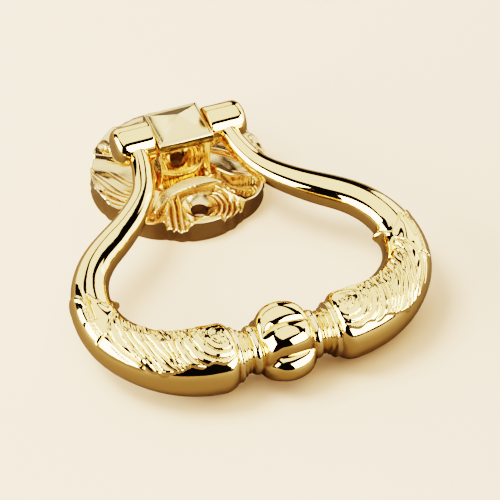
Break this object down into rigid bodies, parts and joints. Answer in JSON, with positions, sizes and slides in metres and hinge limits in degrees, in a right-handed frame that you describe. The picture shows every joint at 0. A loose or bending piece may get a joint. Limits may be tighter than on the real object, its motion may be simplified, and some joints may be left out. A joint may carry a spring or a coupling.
{
  "type": "ring pull handle",
  "caption": "Cabinet ring pull: scalloped rosette backplate with a square post and a swinging ornate bail with a gadrooned knop.",
  "frame": {"origin": "middle of the backplate on its flat back face, which is the mounting surface", "axes": "+X along the axle pin, +Y away from the ring (up the door when mounted), +Z out of the mounting surface"},
  "size_m": [0.0904, 0.1034, 0.0229],
  "materials": {
    "cast_brass": "mirror polished",
    "pin_brass": "drawn rod, ends chamfered"
  },
  "bodies": {
    "backplate": {"rosette_backplate": "cast_brass"},
    "bail_and_pin": {"bail": "cast_brass", "axle_pin": "pin_brass"}
  },
  "joints": [
    {"name": "bail_swing", "type": "hinge", "parent": "backplate", "child": "bail_and_pin", "pos_m": [0, 0, 0.0164], "axis": [-1, 0, 0], "range_deg": [0, 190]}
  ]
}
